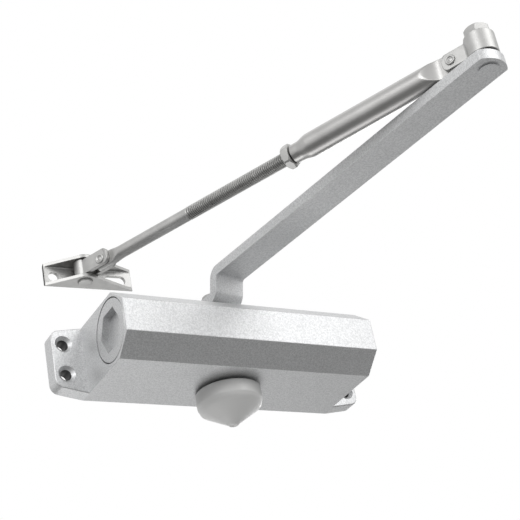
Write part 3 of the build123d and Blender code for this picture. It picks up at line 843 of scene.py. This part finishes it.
def makeArm(size):
    wide, thick, tip = size["wide"], size["thick"], armLength + size["tip"]
    footZ, longZ = armBox[0].z + thick / 2, armBox[1].z - thick / 2
    run, rise = size["longCorner"] - size["footCorner"], longZ - footZ
    lean = math.atan2(rise, run)
    reach = size["bend"] * math.tan(lean / 2)
    arm = startPiece("crankedArm", bpy.ops.mesh.primitive_plane_add, size=mm,
                     rotation=(0, math.radians(90), 0), location=(-wide * mm, 0, footZ * mm))
    stretch(1, size["blankWide"], thick, (-wide, 0, footZ))

    def bendBar(x, z, angle):
        bpy.ops.mesh.spin(steps=size["bendSteps"], angle=angle, center=(x * mm, 0, z * mm), axis=(0, 1, 0))

    x = size["footCorner"] - reach
    pull(x=x + wide)
    bendBar(x, footZ + size["bend"], lean)
    riser = math.hypot(run, rise) - 2 * reach
    pull(x=riser * math.cos(lean), z=riser * math.sin(lean))
    x = size["longCorner"] - reach * math.cos(lean) + size["bend"] * math.sin(lean)
    bendBar(x, longZ - reach * math.sin(lean) - size["bend"] * math.cos(lean), -lean)
    pull(x=tip + 2 * past - x)

    # seen from above, the bar ends in a half circle at the foot and a flat arc at the elbow
    bulge = size["tip"] - size["sideEnd"]
    big = ((wide / 2) ** 2 + bulge ** 2) / (2 * bulge)
    outline = startPiece("armOutline", bpy.ops.mesh.primitive_circle_add, vertices=128, radius=wide / 2 * mm)
    bpy.ops.mesh.primitive_circle_add(vertices=480, radius=big * mm, location=((tip - big) * mm, 0, 0))
    arcFrom = armLength + size["sideEnd"] - 2 * sameGap
    pick(outline, "VERT", lambda v: wide < middle(v).x < arcFrom)
    bpy.ops.mesh.delete(type="VERT")
    bpy.ops.mesh.select_all(action="SELECT")
    pull(z=size["outlineTall"])
    bpy.ops.mesh.select_all(action="SELECT")
    bpy.ops.mesh.convex_hull()
    carve(arm, outline, "INTERSECT")
    half, key = size["square"] / 2, thick / 2 + 2 * past
    carve(arm, block("squareHole", (-half, -half, footZ - key), (half, half, footZ + key)))
    softEdges(arm, size["edge"], 40, 3)
    low, hole = armBox[1].z - thick, size["boltHole"]
    holeRings = [(low + z, hole + more) for z, more in size["holeMouth"]] + [(armBox[1].z + past, hole)]
    carve(arm, turned("boltHole", holeRings, place=Matrix.Translation((armLength * mm, 0, 0))))
    moveTo(arm, armAxes)
    return arm


finishPiece(makeArm(armSizes), "pinion", ["main_arm"], "arm_paint", 40)
print("main arm made")


# cover under the body: turned shell with a pointed end; the pairs hold a height and a radius, or in
# shoulder and rim how much less than the full radius
coverBox = boxOf("pinion_cover")
coverSizes = {
    "radius": 19.5,
    "wall": 1.6,
    "side": 8.4,
    "point": ((0.5, 0.08), (0.42, 0.8), (0.12, 1.5), (0, 2.1), (0.1, 2.7)),
    "cone": (4.0, 5.0, 8.0, 12.0, 16.0, 18.3),
    "coneDrop": 1.35,
    "shoulder": ((-0.35, 0.65), (0.15, 0.22), (0.8, 0.02), (1.6, 0)),
    "rim": ((-0.5, 0), (-0.15, 0.15), (0, 0.5), (0, 1.4), (-0.3, 1.6)),
    "inLow": 0.8,
    "inPoint": ((3.2, 4.0), (2.6, 0.1)),
    "sides": 128,
}


def makeCover(size):
    radius, top, tip = size["radius"], coverBox[1].z, coverBox[0].z
    low = top - size["side"]
    slope = (low - tip) / radius
    profile = [(tip + z, r) for z, r in size["point"]]
    profile += [(tip + slope * r - size["coneDrop"], r) for r in size["cone"]]
    profile += [(low + z, radius - less) for z, less in size["shoulder"]]
    profile += [(top + z, radius - less) for z, less in size["rim"]]
    profile += [(low + size["inLow"], radius - size["wall"])]
    profile += [(tip + z, r) for z, r in size["inPoint"]]
    return turned("coverCap", profile, size["sides"], place=Matrix.Translation(shaftFoot))


finishPiece(makeCover(coverSizes), "pinion", ["pinion_cover"], "grey_plastic", 60)


# end plugs: screwed plugs with a hexagonal recess
plugSizes = {
    "radius": 18.4,
    "long": 13.9,
    "cut": 0.45,
    "key": 23.0,
    "keyDeep": 4.6,
    "turn": 60.0,
    "edge": 0.22,
    "sides": 160,
}


def makePlug(size):
    low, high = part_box("end_plug_right")
    face, axisY = high.x / mm, (low.y + high.y) / 2
    radius, cut = size["radius"], size["cut"]
    plug = turned("endPlugRight", [(face - size["long"], radius), (face - cut, radius),
                                   (face - cut * 0.3, radius - cut * 0.3), (face, radius - cut)],
                  size["sides"])
    carve(plug, hexBar(size["key"], face - size["keyDeep"], face + past, size["turn"]))
    softEdges(plug, size["edge"], 25)
    moveTo(plug, Matrix.Translation((0, axisY, 0)) @ alongX)
    return plug


plugRight = makePlug(plugSizes)
take(plugRight)
bpy.ops.object.duplicate()
plugLeft = bpy.context.object
plugLeft.name = "endPlugLeft"
moveTo(plugLeft, Matrix.Diagonal((-1, 1, 1, 1)))
finishPiece(plugRight, "body", ["end_plug_right"], "silver_plug")
finishPiece(plugLeft, "body", ["end_plug_left"], "silver_plug")
print("cover and plugs made")


# shoe: a folded channel whose flanges narrow to the pin
shoeSizes = {
    "left": -22.5,
    "right": 33.0,
    "back": 9.5,
    "tall": 15.0,
    "plate": 2.5,
    "flange": 2.0,
    "nose": 7.0,
    "noseSpare": 3.0,
    "fold": 2.2,
    "innerFold": 0.9,
    "plateEdge": 0.2,
    "outlineTall": 40.0,
    "holeX": -16.8,
    "hole": 3.2,
    "slotX": 22.3,
    "slotLong": 13.6,
    "slotWide": 6.4,
    "low": -1.1,
    "edge": 0.28,
}


def roundFolds(piece, y, z, width, steps):  # rounds the two long edges at y and plus or minus z
    pick(piece, "EDGE", lambda e: abs(middle(e).y - y) < sameGap
         and abs(abs(middle(e).z) - z) < sameGap)
    bpy.ops.mesh.bevel(offset=width * mm, segments=steps, affect="EDGES")


def makeShoe(size):
    left, right, back, tall, nose = [size[key] for key in ("left", "right", "back", "tall", "nose")]
    front, inBack, inTall = -nose - size["noseSpare"], back - size["plate"], tall / 2 - size["flange"]
    shoe = block("shoeChannel", (left, front, -tall / 2), (right, back, tall / 2))
    roundFolds(shoe, back, tall / 2, size["fold"], 6)
    spare = 4 * past
    inner = block("shoeInside", (left - spare, front, -inTall), (right + spare, inBack, inTall))
    roundFolds(inner, inBack, inTall, size["innerFold"], 4)
    pick(inner, "FACE", lambda f: abs(middle(f).y - front) < sameGap)
    pull(y=-spare)
    carve(shoe, inner)

    # seen from above, the flanges run from the plate's ends to a round nose at the pin
    base, outside = inBack + size["plateEdge"], back + past
    centre = ((left + right) / 2, (base + outside) / 2, 0)
    outline = startPiece("shoeOutline", bpy.ops.mesh.primitive_circle_add, vertices=96, radius=nose * mm)
    bpy.ops.mesh.primitive_plane_add(size=mm, location=[v * mm for v in centre])
    stretch(right - left, outside - base, 1, centre)
    bpy.ops.mesh.select_all(action="SELECT")
    pull(z=size["outlineTall"])
    bpy.ops.mesh.select_all(action="SELECT")
    bpy.ops.mesh.convex_hull()
    bpy.ops.transform.translate(value=(0, 0, -size["outlineTall"] / 2 * mm))
    carve(shoe, outline, "INTERSECT")

    low, high = inBack - 2 * past, back + 2 * past
    hole, slot = roundBar(size["hole"], low, high), roundBar(size["slotWide"] / 2, low, high)
    edit(slot)
    shift = (size["slotLong"] - size["slotWide"]) / 2
    for side in (-1, 1):
        pick(slot, "VERT", lambda v: side * middle(v).x > sameGap)
        bpy.ops.transform.translate(value=(side * shift * mm, 0, 0))
    for tool, x in ((hole, size["holeX"]), (slot, size["slotX"])):
        moveTo(tool, Matrix.Translation((x * mm, 0, size["low"] * mm)) @ alongY)
        carve(shoe, tool)
    softEdges(shoe, size["edge"], 40)
    moveTo(shoe, shoeAxes)
    return shoe


finishPiece(makeShoe(shoeSizes), "shoe", ["shoe_bracket"], "zinc_steel", 40)

# shoe pin: the pairs hold the way in from the pin's end and the radius
pinSizes = {"head": ((1.3, 3.0), (1.3, 4.5), (1.05, 4.6), (0.45, 4.55), (0.15, 4.2), (0, 3.7), (0, 0.1))}


def makeShoePin(size):
    low, high = boxOf("shoe_pin")
    half = (high.z - low.z) / 2
    top = [(half - z, radius) for z, radius in size["head"]]
    bottom = [(-z, radius) for z, radius in reversed(top)]
    return turned("shoePin", bottom + top, place=shoeAxes)


finishPiece(makeShoePin(pinSizes), "shoe", ["shoe_pin"], "zinc_steel")

linkBox = boxOf("shoe_knuckle")
linkSizes = {
    "outer": 5.6,
    "thick": 2.5,
    "tall": linkBox[1].z - linkBox[0].z,
    "gap": 4.1,
    "bend": 0.6,
    "end": 22.5,
    "legTall": 9.9,
    "legDrop": -0.3,
    "tipRound": 3.2,
    "edge": 0.3,
}
shoeStrap = foldedStrap("shoeStrap", linkSizes)
linkSpot = (pinSpot.x, pinSpot.y, (linkBox[0].z + linkBox[1].z) / 2 * mm)
moveTo(shoeStrap, axesAt(linkSpot, -levelWay))
finishPiece(shoeStrap, "shoe_link", ["shoe_knuckle"], "zinc_steel", 50)

shoeRivetSizes = {"head": 3.1, "out": 4.56, "pin": 1.9}
shoeRivet = makeRivet("shoeRivet", shoeRivetSizes)
moveTo(shoeRivet, axesAt(shoeRivetSpot, levelWay) @ alongY)
finishPiece(shoeRivet, "shoe_link", ["shoe_rivet"], "zinc_steel", 60)
print("shoe made")
